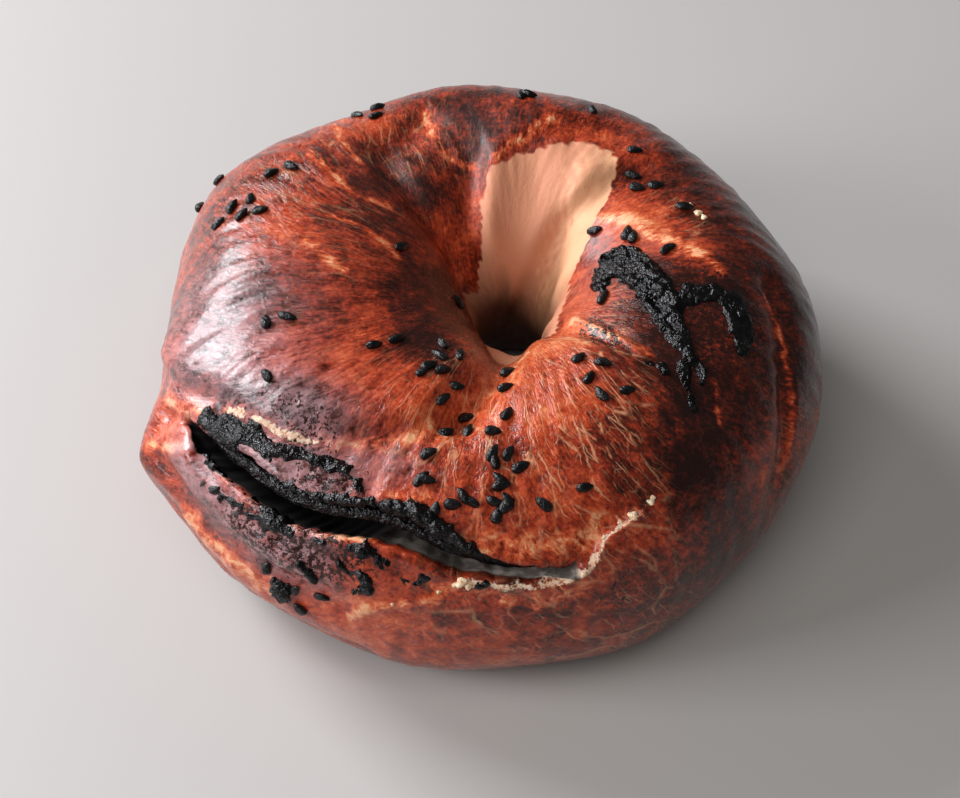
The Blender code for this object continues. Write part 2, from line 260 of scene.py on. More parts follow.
def detail(ring, roll):
    """Small forms in mm: slow lumps, pulled strands, folds, the torn rim and the swollen lips of the split."""
    height = LUMP_HEIGHT * ripples(ring, roll, (0, 11), (0, 7), 3) - SHRUNK
    outside = smooth_step(-0.9, 0.2, np.cos(roll))
    height = height + STRAND_HEIGHT * outside * ripples(ring, roll, (30, 95), (0, 14), 4, 48)
    for path, rise, width in FOLDS:
        height = height + rise * bell(path, ring, roll, width)
    away, side = beside(RIM, ring, roll)
    height = height + RIM_STEP * side * np.tanh(away / RIM_SOFTNESS) * np.exp(-away / RIM_REACH)
    bead = RIM_BEAD * np.exp(-((away / RIM_BEAD) ** 2))
    height = height + bead * (1 + 0.5 * ripples(ring, roll, (60, 160), (0, 60), 9))
    line = read(SPLIT_LINE, ring) * DEG
    from_lip = np.abs(turned(roll - line)) * ROLL_RADIUS - read(SPLIT_HALF_GAP, ring)
    opened = smooth_step(0, 4, read(SPLIT_DEPTH, ring))
    return height + LIP_RISE * opened * np.exp(-(((from_lip - LIP_MIDDLE) / LIP_WIDTH) ** 2))


def skin(ring, roll, extra=0.0):
    """Points of the crust as if the split were shut: the plain ring raised by the folds and by extra mm."""
    place = plain_ring(ring, roll)
    rise = (relief(ring, roll) + extra) * smooth_step(*RELIEF_FROM, place[..., 2])
    return place + outward_from(ring, roll) * rise[..., None]


def crust_place(ring, roll):
    """Points of the crust with its small forms."""
    return skin(ring, roll, detail(ring, roll))


def torn(ring, across):
    """Way from the split's line in mm, depth in mm and how open the split is.

    Across is 0 on the floor, SPLIT_LIP at a lip and 1 at the edge of the band, below zero on the lower side. The
    wall is a quarter of an ellipse from floor to lip, and beyond the lip the crust goes on evenly.
    """
    side, away = np.sign(across), np.abs(across)
    arc = np.clip(away / SPLIT_LIP, 0, 1) * math.pi / 2
    depth = read(SPLIT_DEPTH, ring)
    opened = smooth_step(0, 2, depth)
    upper, lower = (ripples(ring, 0, (20, 150), (0, 0), seed) for seed in (21, 22))
    ragged = np.where(across > 0, upper, lower)
    gap = np.maximum(read(SPLIT_HALF_GAP, ring) + LIP_RAGGED * ragged, LEAST_HALF_GAP)
    wall = side * gap * np.sin(arc) + read(SPLIT_FLOOR, ring) * np.cos(arc)
    crust = side * (gap + (SPLIT_BAND - gap) * (away - SPLIT_LIP) / (1 - SPLIT_LIP))
    offset = np.where(away < SPLIT_LIP, wall, crust)
    fall = np.where(away < SPLIT_LIP, np.cos(arc), 0) * depth * opened
    shut = across * SPLIT_BAND
    return shut + (offset - shut) * opened, fall, opened


def torn_place(ring, across):
    """Roll angles and points of the crust beside the split and of the walls inside it."""
    line = read(SPLIT_LINE, ring) * DEG
    offset, fall, _ = torn(ring, across)
    roll = line + offset / ROLL_RADIUS
    return roll, crust_place(ring, roll) - outward_from(ring, line) * fall[..., None]


def ring_columns():
    """Ring angles of the columns from the seam on, closer together where the dough is torn and pulled."""
    turn = np.linspace(0, 360, 3601)
    angle = (SEAM + turn) % 360
    close = (angle > CLOSE_FROM_TO[0]) & (angle < CLOSE_FROM_TO[1])
    span = CLOSE_FROM_TO[1] - CLOSE_FROM_TO[0]
    weight = np.where(close, CLOSE_COLUMNS / span, (1 - CLOSE_COLUMNS) / (360 - span))
    share = np.concatenate([[0], np.cumsum((weight[1:] + weight[:-1]) / 2)])
    return (SEAM + np.interp(np.arange(COLUMNS) / COLUMNS, share / share[-1], turn)) * DEG


def dough_grid():
    """Ring angles, roll angles and points of the dough, and how far across the split each row lies."""
    ring = ring_columns()[:, None]
    half_band = SPLIT_BAND / ROLL_RADIUS
    share = np.concatenate([np.linspace(*part, endpoint=False) for part in ROUND_ROWS])[1:]
    rest = read(SPLIT_LINE, ring) * DEG + half_band + (2 * math.pi - 2 * half_band) * share
    crust = np.linspace(SPLIT_LIP, 1, BAND_CRUST_ROWS)
    band = np.concatenate([-crust[::-1], np.linspace(-SPLIT_LIP, SPLIT_LIP, BAND_WALL_ROWS)[1:-1], crust])
    band_roll, band_points = torn_place(ring, band[None, :])
    roll = np.concatenate([rest, band_roll + 2 * math.pi], axis=1)
    points = np.concatenate([crust_place(ring, rest), band_points], axis=1)
    return ring + np.zeros_like(roll), roll, points, np.concatenate([np.full(rest.shape[1], BEYOND_BAND), band])


def closed_tube(name, points):
    """A mesh from a grid of points in mm, joined round both ways."""
    columns, rows = points.shape[:2]
    i, j = (grid.ravel() for grid in np.meshgrid(np.arange(columns), np.arange(rows), indexing="ij"))
    i_next, j_next = (i + 1) % columns, (j + 1) % rows
    corners = np.stack([i * rows + j, i_next * rows + j, i_next * rows + j_next, i * rows + j_next], -1)
    mesh = bpy.data.meshes.new(name)
    mesh.vertices.add(columns * rows)
    mesh.vertices.foreach_set("co", (points * MM).ravel())
    mesh.loops.add(corners.size)
    mesh.loops.foreach_set("vertex_index", corners.ravel())
    mesh.polygons.add(len(corners))
    mesh.polygons.foreach_set("loop_start", np.arange(len(corners)) * 4)
    mesh.update(calc_edges=True)
    mesh.shade_smooth()
    return mesh


LEAN = ((0, -0.15), (60, 0.0), (100, 0.2), (150, 0.4), (200, 0.35), (240, 0.1), (290, -0.2), (330, -0.25))


def map_strands(mesh, ring, roll):
    """A UV map whose V goes round the roll and whose U stays the same along a pulled strand.

    V is turns from underneath. U is turns of the ring from the seam, less the lean of the strands times V - 1/2.
    """
    u = np.concatenate([ring, ring[:1] + 2 * math.pi]) / (2 * math.pi) - SEAM / 360
    v = np.concatenate([roll, roll[:1]]) / (2 * math.pi) - 0.75
    lean = read(LEAN, np.concatenate([ring, ring[:1]]))
    corners = []
    for grid, turn in ((u, 0), (v, 1), (lean, 0)):
        grid = np.concatenate([grid, grid[:, :1] + turn], axis=1)
        corners.append(np.stack([grid[:-1, :-1], grid[1:, :-1], grid[1:, 1:], grid[:-1, 1:]], -1))
    u, v, lean = corners
    v = v - np.floor(v.min(-1, keepdims=True) + 1e-6)
    layer = mesh.uv_layers.new(name="strands")
    layer.data.foreach_set("uv", np.stack([u - lean * (v - 0.5), v], -1).ravel())


def paint(mesh, name, values):
    """Stores one number for each vertex, for the material to read."""
    mesh.attributes.new(name, "FLOAT", "POINT").data.foreach_set("value", np.asarray(values, float).ravel())


def place_piece(name, mesh, finish, node):
    """Puts a mesh in the scene as a piece that stands for a node, with its finish."""
    mesh.materials.append(finish.material)
    piece = bpy.data.objects.new(name, mesh)
    bpy.context.scene.collection.objects.link(piece)
    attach(piece, "root")
    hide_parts(node)


class Value:
    """A socket of a material. Arithmetic on it adds Math nodes, so that a mask reads as a formula."""

    def __init__(self, finish, socket):
        self.finish, self.socket = finish, socket

    def math(self, operation, *others):
        return self.finish.add("Math", dict(enumerate((self, *others))), operation=operation)

    def __add__(self, other):
        return self.math("ADD", other)

    def __sub__(self, other):
        return self.math("SUBTRACT", other)

    def __rsub__(self, other):
        return self.finish.add("Math", {0: other, 1: self}, operation="SUBTRACT")

    def __mul__(self, other):
        return self.math("MULTIPLY", other)

    __radd__ = __add__

    def __or__(self, other):
        """The larger of two masks."""
        return self.math("MAXIMUM", other)

    def between(self, low, high):
        """0 at low, 1 at high and a smooth step from one to the other; high may be the lower number."""
        return self.finish.add("MapRange", {0: self, 1: low, 2: high}, interpolation_type="SMOOTHSTEP")

    def scaled(self, *factors):
        """This vector times a number for each axis."""
        return self.finish.add("VectorMath", {0: self, 1: factors}, operation="MULTIPLY")


class Finish:
    """A Principled material, its fixed values set on the shader and the rest made by nodes."""

    def __init__(self, name, fixed):
        self.material = bpy.data.materials.new(name)
        self.material.use_nodes = True
        self.tree = self.material.node_tree
        self.shader = self.tree.nodes["Principled BSDF"]
        for socket, value in fixed.items():
            self.shader.inputs[socket].default_value = value

    def add(self, kind, inputs=None, output=0, stops=None, **settings):
        """Adds a node, sets it up, gives its sockets values or links, and returns one of its outputs."""
        node = self.tree.nodes.new("ShaderNode" + kind)
        for name, value in settings.items():
            setattr(node, name, value)
        if stops:
            ramp = node.color_ramp.elements
            while len(ramp) < len(stops):
                ramp.new(0.5)
            for element, (place, colour) in zip(ramp, stops):
                element.position, element.color = place, (*colour, 1.0)
        for socket, value in (inputs or {}).items():
            if isinstance(value, Value):
                self.tree.links.new(value.socket, node.inputs[socket])
            elif node.inputs[socket].type == "RGBA":
                node.inputs[socket].default_value = (*value, 1.0)
            else:
                node.inputs[socket].default_value = value
        return Value(self, node.outputs[output])

    def painted(self, name):
        """The number painted on the vertices under this name."""
        return self.add("Attribute", attribute_name=name, output="Fac")

    def blend(self, under, over, share):
        """One colour laid over another by a share from 0 to 1."""
        return self.add("Mix", {0: share, 6: under, 7: over}, output=2, data_type="RGBA")

    def noise(self, place, scale, detail=3.0, rough=0.55, output="Fac"):
        """Cloudy noise, with scale in patches for each unit of place."""
        inputs = {"Vector": place, "Scale": scale, "Detail": detail, "Roughness": rough}
        return self.add("TexNoise", inputs, output)

    def bent(self, place, reach, scale, detail, rough=0.55):
        """Places moved along each axis by noise from 0 to 1 times its reach."""
        cloud = self.noise(place, scale, detail, rough, output="Color")
        return self.add("VectorMath", {0: cloud, 1: reach, 2: place}, operation="MULTIPLY_ADD")

    def bump(self, height, distance, strength):
        """Shading as of a surface raised by height times a distance in metres."""
        return self.add("Bump", {"Strength": strength, "Distance": distance, "Height": height})

    def threads(self, place):
        """Distance to the nearest line of an irregular net with about one mesh for each unit of place."""
        return self.add("TexVoronoi", {"Vector": place, "Scale": 1.0}, feature="DISTANCE_TO_EDGE",
                        voronoi_dimensions="2D")

    def feed(self, inputs):
        """Links values into the shader's own sockets."""
        for socket, value in inputs.items():
            self.tree.links.new(value.socket, self.shader.inputs[socket])


ring, roll, points, band = dough_grid()
mesh = closed_tube("baked_dough", points)
map_strands(mesh, ring, roll)

# At a ring angle, the roll angle up to which the crust is browned, then the one from which the hole's wall is
# painted dark as the shade inside the hole. The tables after them say which stretches took the most heat and
# which stayed pale, and a few dark tone spots at the hole's mouth are painted shade.
BROWNED_TO = (
    (14, 150), (30, 128), (38, 118), (44, 104), (50, 90), (64, 90), (76, 100), (92, 111), (98, 114), (106, 127),
    (120, 148), (134, 165), (200, 168), (266, 150), (280, 160), (305, 146),
)
HOLE_SHADE_FROM = ((20, 172), (48, 174), (64, 168), (84, 160), (104, 148), (150, 150), (250, 168))
TONES_AND_SHADE = (
    # ring angle, roll angle, radius in mm, change of tone: below zero is darker; the dark spots at (228, 113)
    # and (206, 140), on the hole's mouth, are darker crust and painted shade together
    (322, 62, 13, -0.26), (338, 80, 8, -0.26), (310, 40, 9, -0.16), (345, 55, 9, -0.16), (352, 100, 8, -0.10),
    (300, 18, 9, -0.10), (315, 0, 10, -0.14), (275, 14, 8, -0.15), (262, 4, 8, -0.10), (292, 8, 7, -0.08),
    (10, 45, 12, -0.20), (30, 50, 12, -0.18), (355, 25, 12, -0.16), (55, 60, 10, -0.12), (85, 88, 5, -0.07),
    (238, 50, 5, -0.14), (228, 46, 5, -0.14), (222, 62, 4, -0.22), (228, 69, 4, -0.22), (213, 54, 4, -0.20),
    (240, 26, 5, -0.12), (232, 8, 4, -0.18), (222, 9, 4, -0.16), (206, 12, 5, -0.16), (175, 45, 9, -0.10),
    (197, 50, 8, -0.14), (190, 75, 8, -0.06), (142, 96, 6, -0.12), (160, 108, 9, -0.08), (200, 120, 9, -0.08),
    (245, 112, 7, -0.12), (205, 92, 7, -0.05), (127, 114, 4, -0.20), (100, 78, 6, -0.10), (262, 66, 8, -0.06),
    (225, 85, 8, 0.10), (248, 88, 7, 0.08), (262, 108, 6, 0.12), (280, 105, 9, 0.12), (292, 122, 8, 0.12),
    (270, 85, 7, 0.04), (300, 95, 6, 0.05), (130, 72, 8, 0.02), (15, 105, 6, 0.16), (355, 88, 5, 0.12),
    (30, 112, 6, 0.10), (250, -10, 9, 0.14), (268, -14, 9, 0.14), (232, -12, 7, 0.12), (285, -16, 8, 0.08),
    (205, 26, 4, 0.20), (320, 120, 8, 0.08), (345, 135, 8, 0.06), (212, 30, 3, 0.16), (170, 90, 8, 0.05),
    (226, 30, 4, 0.10), (330, 100, 6, -0.10), (228, 113, 8, -0.16), (206, 140, 9, -0.16), (97, 84, 8, -0.10),
    (151, 88, 8, -0.07), (294, 25, 8, 0.14), (262, 8, 9, 0.05), (355, 76, 8, -0.08), (20, 70, 10, -0.08),
    (240, 92, 7, -0.05), (240, 72, 6, -0.05),
)
PALE_STREAKS = (
    # path, half width
    (((213, 49), (217, 54), (221, 57), (227, 59), (232, 61.5), (237, 65), (240, 69), (248, 76), (256, 83)), 1.1),
    (((200, 24), (205, 33), (209, 40), (211, 45)), 1.0),
    (((204, 12), (209, 21), (212, 29)), 0.6),
    (((216, 2), (222, 0), (228, 0), (234, 0)), 1.4),
    (((220, 32), (224, 33), (228, 32)), 0.9),
    (((233, 31), (240, 33), (246, 36.5), (251, 38.5)), 0.5),
    (((313, 132), (314, 122), (315, 112), (316, 100), (318, 90)), 0.7),
    (((42, 124), (34, 117), (27, 110), (18, 104), (11, 101), (4, 92), (355, 81)), 1.1),
    (((355, 62), (349, 52), (343, 43), (338, 32), (333, 20), (327, 8)), 0.32),
    (((268, 39), (273, 41), (279, 39), (285, 39), (288, 43)), 1.3),
    (((262, 22.5), (267, 24), (273, 21), (279, 18), (284, 21)), 1.4),
    (((248, 3), (253, 11), (258, 16), (263, 20)), 0.7),
    (((249, 54), (254, 57), (258, 57), (262, 54)), 0.6),
    (((325, 66), (323, 61), (319, 54)), 0.35),
    (((128, 60), (134, 78), (138, 92)), 0.4),
    (((143, 76), (146, 86), (150, 93), (152, 102), (150, 111)), 0.65),
    (((108, 73), (110, 87), (111, 98), (108, 103), (102, 108)), 0.6),
    (((96, 110), (90, 104), (82, 96), (74, 84)), 0.7),
    (((178, 87), (184, 92), (192, 99)), 0.45),
    (((165, 93), (167, 103), (176, 114), (183, 119)), 0.45),
    (((294, 137), (299, 126), (304, 112)), 0.8),
    (((268, 124), (272, 117), (277, 126)), 0.5),
)
WHITE_STREAKS = (
    (((267, 27), (271, 26), (276, 25), (281, 25), (285, 27.5), (287, 31)), 0.55),
    (((286, 29.5), (288, 35), (289.5, 39), (293, 41.5), (296, 43.5), (299, 44)), 0.18),
    (((214.5, 51), (218, 54.5), (221.5, 57), (226, 58.5), (230, 60), (233, 62)), 0.42),
)
BLOOMS_AND_SHEENS = (
    # ring angle, roll angle, radius and, where it isn't 1, strength: a grey-purple bloom on the crust, which on
    # the left lobe and the lower ridge is lightened into a painted lavender highlight
    (185, 48, 8, 0.4), (195, 60, 9, 0.4), (207, 66, 7, 0.5), (200, 44, 7, 0.4), (216, 60, 5, 0.4),
    (224, 67, 5, 0.6), (232, 67, 5, 0.5), (222, 24, 5), (232, 21, 5), (240, 20, 5), (213, 27, 4), (228, 46, 4),
    (238, 50, 5, 0.8), (218, 42, 3), (246, 60, 4, 0.3), (250, 66, 3, 0.3),
)
SOOTS = (
    # ring angle, roll angle, radius and, where it isn't 1, strength: peppered with burnt specks
    (226, 24, 6), (234, 23, 6), (241, 25, 6), (214, 52, 4), (222, 64, 4), (231, 67, 4), (236, 52, 4),
    (243, 54, 4), (349, 100, 6), (340, 76, 6), (330, 82, 5), (322, 72, 5), (314, 120, 2.5, 1.5),
    (314, 112, 2.5, 1.5), (314.5, 104, 2.5, 1.2), (310.5, 117, 2, 1.3), (311, 109, 2, 1.3), (248, 28, 5),
    (290, 12, 5), (305, 60, 4), (256, 46, 4), (345, 122, 4), (343, 90, 3), (350, 82, 3), (349, 74, 3.5, 1.2),
    (343, 65, 4, 1.2), (337, 62, 3), (352, 104, 3, 0.8), (334, 88, 4, 0.8),
)
DULLS = (
    # ring angle, roll angle, radius: where the egg wash was thin
    (98, 92, 11), (112, 108, 10), (125, 125, 10), (14, 108, 8), (355, 112, 5), (140, 100, 6),
)
WEBS = (
    # ring angle, roll angle, radius, strength: a net of pale threads where the crust stretched
    (285, 85, 15, 0.8), (305, 85, 14, 0.9), (298, 60, 10, 0.9), (270, 75, 10, 0.7), (318, 100, 8, 1.0),
    (250, 88, 8, 0.5), (140, 85, 12, 0.55), (160, 70, 10, 0.45), (190, 95, 10, 0.25), (110, 85, 8, 0.6),
    (275, 5, 12, 0.9), (295, -5, 10, 0.9), (15, 85, 8, 0.8), (225, 95, 8, 0.2), (330, 20, 12, 0.5),
)


def spots(table):
    """Sum over a table of round spots: each one's strength, or 1, times exp(-(distance / radius)^2)."""
    total = np.zeros_like(roll)
    across = MID_RADIUS + ROLL_RADIUS * np.cos(roll)
    for spot_ring, spot_roll, radius, *strength in table:
        u, v = turned(ring - spot_ring * DEG) * across, turned(roll - spot_roll * DEG) * ROLL_RADIUS
        total = total + sum(strength or (1,)) * np.exp(-(u * u + v * v) / radius**2)
    return total


def streaks(table, drift):
    """Soft bands along the paths of a table, their edges moved in and out by drift in half widths."""
    total = np.zeros_like(roll)
    for path, width in table:
        away = beside(path, ring, roll)[0] / width + 0.30 * drift
        total = np.maximum(total, 1 - smooth_step(-0.2, 1.9, away))
    return total


drift = ripples(ring, roll, (10, 90), (6, 60), 11, 48)
angle = roll % (2 * math.pi)
browned = 1 - smooth_step(-0.06, 0.05, angle - read(BROWNED_TO, ring) * DEG + 0.015 * drift)
browned = np.maximum(browned, smooth_step(285, 318, angle / DEG + 5 * drift))
across = np.abs(band)[None, :] + np.zeros_like(roll)
opened = torn(ring, np.ones(1))[2]
paint(mesh, "browned", browned)
paint(mesh, "tone_and_shade", np.clip(spots(TONES_AND_SHADE), -0.23, 0.22))
paint(mesh, "pale", streaks(PALE_STREAKS, drift))
paint(mesh, "white", streaks(WHITE_STREAKS, drift))
paint(mesh, "bloom_and_sheen", np.clip(spots(BLOOMS_AND_SHEENS), 0, 1))
paint(mesh, "soot", np.clip(spots(SOOTS), 0, 1.3))
paint(mesh, "inside", (1 - smooth_step(SPLIT_LIP - 0.10, SPLIT_LIP - 0.01, across)) * opened)
# Painted shade: the split's inner walls at ring angles below about 250 go near black, as the shadow in the deep
# gap.
paint(mesh, "split_shade", smooth_step(257, 247, ring / DEG % 360 + np.zeros_like(roll)))
paint(mesh, "cream", smooth_step(66, 46, ring / DEG % 360 + 4 * drift) * smooth_step(10, 25, ring / DEG % 360))
paint(mesh, "web", np.clip(spots(WEBS), 0, 1))
paint(mesh, "dull", np.clip(spots(DULLS), 0, 1))
# Painted shade: the hole's wall darkens from these roll angles down, standing in for the shadow in the hole.
below = angle / DEG - read(HOLE_SHADE_FROM, ring) + 0.6 * drift
paint(mesh, "hole_shade", smooth_step(0, 26, below) * smooth_step(250, 225, angle / DEG))

RED_BROWN = (0.24, 0.026, 0.009)
ORANGE_BROWN = (0.42, 0.059, 0.018)
PALE_ORANGE = (0.56, 0.140, 0.052)
DARK_BROWN = (0.080, 0.011, 0.005)
BURNT = (0.019, 0.005, 0.0035)
PULLED = (0.68, 0.33, 0.17)
UNBROWNED = (0.52, 0.22, 0.125)
CREAM = (0.64, 0.33, 0.18)
TORN_WHITE = (0.70, 0.55, 0.42)
GREY_PURPLE = (0.30, 0.175, 0.185)
SHADED_GREY_DOUGH = (0.10, 0.085, 0.075)
PALE_GREY_DOUGH = (0.26, 0.23, 0.20)
SPLIT_SHADE_BLACK = (0.0015, 0.001, 0.001)
STRAND_MM = (251.0, 138.0, 1.0)  # about once round the ring and once round the roll

crust = Finish("egg_washed_crust", {
    "Coat Roughness": 0.16, "Coat IOR": 1.5, "Specular IOR Level": 0.30, "Subsurface Weight": 0.05,
    "Subsurface Scale": 0.002, "Subsurface Radius": (1.0, 0.35, 0.15),
})
place = crust.add("TexCoord", output="Object")
strand = crust.add("UVMap", uv_map="strands").scaled(*STRAND_MM)
sway = crust.bent(strand, (2.6, 2.6, 0.0), 0.35, 2)
cloud = crust.noise(place, 85, 4, 0.6)
fibre = crust.noise(sway.scaled(1.5, 0.42, 1.0), 1.0, 5, 0.68)
grain = crust.noise(place, 1500, 3, 0.6)
blotch = crust.noise(place, 330, 4, 0.65)
mottle = (cloud - 0.5) * 0.7 + (fibre - 0.5) * 0.65 + (blotch - 0.5) * 0.55 + (grain - 0.5) * 0.45
pale = crust.painted("pale") * (0.32 + (blotch + fibre - 1.0) * 1.2)
# Tone of the crust for the colour ramp; its painted spots include painted shade at the hole's mouth.
tone_and_shade = mottle + 0.475 + crust.painted("tone_and_shade") + pale
colour = crust.add("ValToRGB", {0: tone_and_shade}, stops=(
    (0.18, BURNT), (0.34, DARK_BROWN), (0.48, RED_BROWN), (0.62, ORANGE_BROWN), (0.78, PALE_ORANGE),
    (0.95, PULLED),
))
bent = crust.bent(strand, (2.2, 3.0, 0.0), 0.22, 3, 0.6)
net = crust.threads(bent.scaled(0.25, 0.075, 1.0)).between(0.050, 0.0)
fine_net = crust.threads(bent.scaled(0.70, 0.34, 1.0)).between(0.07, 0.0)
thread = crust.threads(bent.scaled(0.42, 0.045, 1.0)).between(0.045, 0.0)
broken = crust.noise(strand, 0.35, 3, 0.6).between(0.38, 0.60)
unburnt = crust.painted("tone_and_shade").between(-0.20, -0.04)
web = (net * 0.9 | fine_net * 0.35 | thread * 0.8) * broken * unburnt * crust.painted("web")
colour = crust.blend(colour, PULLED, web * 0.72)
ragged = (crust.noise(place, 900, 5, 0.7) - 0.5) * 1.6
# Grey-purple bloom of the crust, part real colour and part painted lavender highlight on the left lobe and
# ridge.
colour = crust.blend(colour, GREY_PURPLE, crust.painted("bloom_and_sheen") * (blotch + fibre).between(0.72, 1.12) * 0.85)
wall = crust.blend(UNBROWNED, CREAM, crust.painted("cream"))
wall = crust.blend(wall, ORANGE_BROWN, (blotch * 0.6 + fibre * 0.4).between(0.56, 0.72) * 0.45)
colour = crust.blend(wall, colour, (crust.painted("browned") + ragged * 0.25).between(0.3, 0.7))
# Painted shade: the lower wall of the hole blended towards black.
colour = crust.blend(colour, BURNT, crust.painted("hole_shade") * 0.88)
speck = (crust.painted("soot") * 0.19 + crust.noise(place, 1150, 4, 0.75)).between(0.71, 0.76)
colour = crust.blend(colour, BURNT, speck)
tufts = crust.noise(place, 1500, 4, 0.75)
white = (crust.painted("white") * (1.15 + (tufts - 0.5) * 6)).between(0.40, 0.75)
colour = crust.blend(colour, crust.blend(PULLED, TORN_WHITE, tufts.between(0.42, 0.56)), white)
# The split's inside: grey dough mottled with a darker copy of it that is painted shade.
inner = crust.blend(SHADED_GREY_DOUGH, PALE_GREY_DOUGH, blotch.between(0.4, 0.6))
# Painted shade: near black over the inside of the split where the gap lies in shadow.
inner = crust.blend(inner, SPLIT_SHADE_BLACK, crust.painted("split_shade"))
inside = crust.painted("inside").between(0.35, 0.75)
colour = crust.blend(colour, inner, inside)
glaze = (crust.painted("browned") - (white | inside | crust.painted("dull") * 0.8)).math("MAXIMUM", 0.0)
wrinkle = crust.noise(sway.scaled(0.9, 0.5, 1.0), 1.3, 4, 0.62)
height = wrinkle * 0.55 + fibre * 0.25 + web * 0.10 + white * 0.3
height = height * (0.25 + glaze * 0.75) + grain * 0.12 + tufts * white * 0.8
crust.feed({
    "Base Color": colour, "Roughness": 0.62 + inside * 0.3 - glaze * 0.38 + (blotch - 0.5) * 0.5,
    "Coat Weight": glaze * 0.21, "Normal": crust.bump(height, 0.0009, 0.6),
})
place_piece("baked_dough", mesh, crust, "dough_ring")


# ---------------------------------------------------------------------------------------------------------------
# The olive paste. Black olives were minced and spread on the dough before it was rolled up, so a sheet of paste
# turns inside the roll. It shows in the split, is smeared over its lips, and has burst the right shoulder.

PASTE_PATH = (
    # ring angle, roll angle of the sheet's outer edge
    (204, 33), (214, 37), (223, 41), (235, 41), (241, 43), (249, 47), (256, 45.5), (264, 38.5), (274, 32),
    (282, 29), (292, 38), (305, 56), (320, 79), (332, 95), (344, 104), (364, 121), (400, 165), (470, 250),
    (540, 345), (564, 396),
)
PASTE_COVER = ((204, 5.0), (214, 2.0), (222, 0.6), (262, 0.6), (272, 2.0), (284, 5.0), (564, 5.0))
PASTE_LOOPS = 420
PASTE_ROWS = 14
PASTE_HALF = 0.95
PASTE_REACH = 13.0
PASTE_SUNK = 0.35
PASTE_BASE = 0.7
SMEAR_CELL = 0.34
SMEARS_END = 3.5
MM_PER_ACROSS = 5.6
LIP_DISTANCE = 50  # mm from the middle of the ring, as is the next
SHOULDER_DISTANCE = 31
LINING = 1.35

# Each smear is a path of (ring angle, roll angle, half width in mm) and its thickness.
UPPER_SMEARS = (
    (((212, 43, 1.1), (217, 47, 1.7), (222.5, 50.5, 1.7), (228, 52.5, 1.3), (231, 56, 0.7), (235, 57.5, 0.8),
      (240, 58.5, 0.8), (243, 56.5, 0.9), (246, 53.5, 0.8)), 0.7),
    (((246, 49.5, 0.6), (251, 50.5, 1.3), (256, 49.5, 1.8), (260, 46, 1.9), (264, 40, 1.5), (268, 36.5, 1.1),
      (272, 34.5, 0.5)), 1.0),
    (((228, 43, 0.3), (236, 44, 0.9), (242, 48, 1.1), (248, 50.5, 1.1)), 0.8),
    (((212, 41, 1.0), (220, 44, 1.0), (226, 43, 0.6)), 0.8),
)
LOWER_SMEARS = (
    (((214, 33, 0.6), (219, 33.5, 0.8), (224, 36, 0.9), (228, 35, 0.9), (231.6, 32.5, 0.8),
      (235, 30.5, 0.7)), 0.7),
    (((219, 24, 0.3), (221.6, 25.8, 0.7), (225, 26.8, 0.6), (229, 27, 0.7), (232.6, 28.6, 0.9),
      (236, 29.5, 1.0)), 0.6),
    (((246.5, 33, 0.7), (249, 34, 1.2), (251, 33.5, 1.2), (253, 31.5, 0.9)), 1.3),
    (((245, 28, 0.5), (246, 25.5, 0.8), (247.5, 23.5, 0.6)), 0.7),
    (((249.5, 24, 0.5), (250.5, 21.5, 0.9), (251, 18, 0.9), (249, 16, 0.7)), 1.0),
    (((239.6, 20, 0.8), (241.2, 18.6, 1.0)), 1.2),
    (((235.4, 3, 1.5), (236.8, 0.5, 1.4)), 1.2),
    (((255.5, 26, 0.4), (257, 25, 0.5)), 0.6),
    (((258, 24.5, 0.3), (260, 27, 0.4)), 0.5),
    (((241, 31, 0.5), (243, 31.5, 0.5)), 0.6),
    (((268, 25.5, 0.5), (269.5, 26.5, 0.6)), 0.6),
)
BURSTS = (
    (((338, 123, 0.9), (346, 126, 1.6), (355, 125.5, 2.8), (361, 119.5, 3.8), (355, 112, 3.6), (346, 105, 3.0),
      (338, 98, 2.9), (331, 91.5, 2.3), (327, 83.5, 1.3), (325, 75, 1.0), (323, 69, 0.6)), 1.1),
    (((340, 91, 1.0), (345, 89, 1.6), (348, 83, 1.9), (347, 76, 2.3), (343, 69, 2.6), (337, 64.5, 1.5)), 0.45),
    (((316.5, 88, 0.9), (318, 84, 1.0)), 0.5),
    (((322, 78, 1.0), (318, 71, 0.9), (316, 66, 0.7)), 0.5),
)


def chance(i, j, seed):
    """A number from 0 to 1 for each pair of whole numbers, the broken part of a steep sine."""
    steep = np.sin(i * 127.1 + j * 311.7 + seed * 74.7) * 43758.5453
    return steep - np.floor(steep)


def cloudy(u, v, size, seed):
    """Smooth heights from 0 to 1: chances at the corners of squares of this size, blended by 3t^2 - 2t^3."""
    i, j = np.floor(u / size), np.floor(v / size)
    s, t = smooth_step(0, 1, u / size - i), smooth_step(0, 1, v / size - j)
    near = chance(i, j, seed) * (1 - s) + chance(i + 1, j, seed) * s
    far = chance(i, j + 1, seed) * (1 - s) + chance(i + 1, j + 1, seed) * s
    return near * (1 - t) + far * t


def crumbly(u, v, size, seed):
    """Domes side by side: 1 less the squared distance, in sizes, to the nearest point of a jittered lattice."""
    nearest = np.full(np.broadcast(u, v).shape, np.inf)
    for step in range(9):
        i, j = np.floor(u / size) + step // 3 - 1, np.floor(v / size) + step % 3 - 1
        du, dv = i + chance(i, j, seed) - u / size, j + chance(j, i, seed + 1) - v / size
        nearest = np.minimum(nearest, du * du + dv * dv)
    return 1 - np.minimum(nearest, 1)


